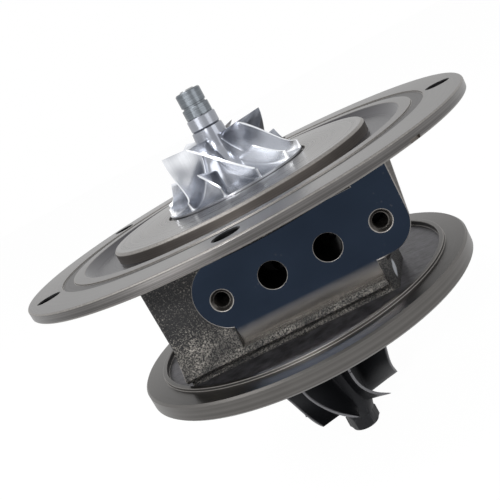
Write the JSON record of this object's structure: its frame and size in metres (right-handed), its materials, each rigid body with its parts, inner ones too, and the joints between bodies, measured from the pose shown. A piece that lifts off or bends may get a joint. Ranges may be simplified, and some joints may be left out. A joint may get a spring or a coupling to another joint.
{
  "type": "turbo cartridge",
  "caption": "Turbocharger centre cartridge: cast bearing housing with turned back plate and turbine flange, oil pad, and a rotor with milled compressor wheel and dark turbine wheel.",
  "frame": {"origin": "on the shaft axis, in the plane of the back plate's rim face", "axes": "+Z along the shaft towards the compressor wheel, -Y out of the oil pad"},
  "size_m": [0.15, 0.15, 0.1269],
  "materials": {
    "cast_iron": "rough as cast, machined on its faces",
    "turned_plate": "finely turned",
    "screw_steel": "black oxide",
    "seal_rubber": "smooth",
    "bronze": "fine turned",
    "sheet_steel": "pressed sheet",
    "shaft_steel": "ground",
    "ring_iron": "ground",
    "spring_steel": "oiled",
    "milled_aluminium": "milled, bright",
    "turbine_alloy": "dark investment casting",
    "nut_steel": "turned"
  },
  "bodies": {
    "housing": {"bearing_housing": "cast_iron", "back_plate": "turned_plate", "back_plate_screws": "screw_steel", "plate_seal_ring": "seal_rubber", "thrust_bearing": "bronze", "oil_deflector": "sheet_steel", "compressor_piston_ring": "ring_iron", "turbine_piston_ring": "ring_iron", "circlip_top": "spring_steel", "circlip_upper": "spring_steel", "circlip_lower": "spring_steel", "circlip_bottom": "spring_steel", "heat_shield": "sheet_steel"},
    "rotor": {"rotor_shaft": "shaft_steel", "turbine_wheel": "turbine_alloy", "compressor_wheel": "milled_aluminium", "lock_nut": "nut_steel", "thrust_collar": "shaft_steel", "flinger_sleeve": "shaft_steel"},
    "upper_bush": {"compressor_bush": "bronze"},
    "lower_bush": {"turbine_bush": "bronze"}
  },
  "joints": [
    {"name": "rotor_spin", "type": "hinge", "parent": "housing", "child": "rotor", "pos_m": [0, 0, 0], "axis": [0, 0, 1], "continuous": true},
    {"name": "compressor_bush_spin", "type": "hinge", "parent": "housing", "child": "upper_bush", "pos_m": [0, 0, -0.01945], "axis": [0, 0, 1], "continuous": true},
    {"name": "turbine_bush_spin", "type": "hinge", "parent": "housing", "child": "lower_bush", "pos_m": [0, 0, -0.03595], "axis": [0, 0, 1], "continuous": true}
  ]
}
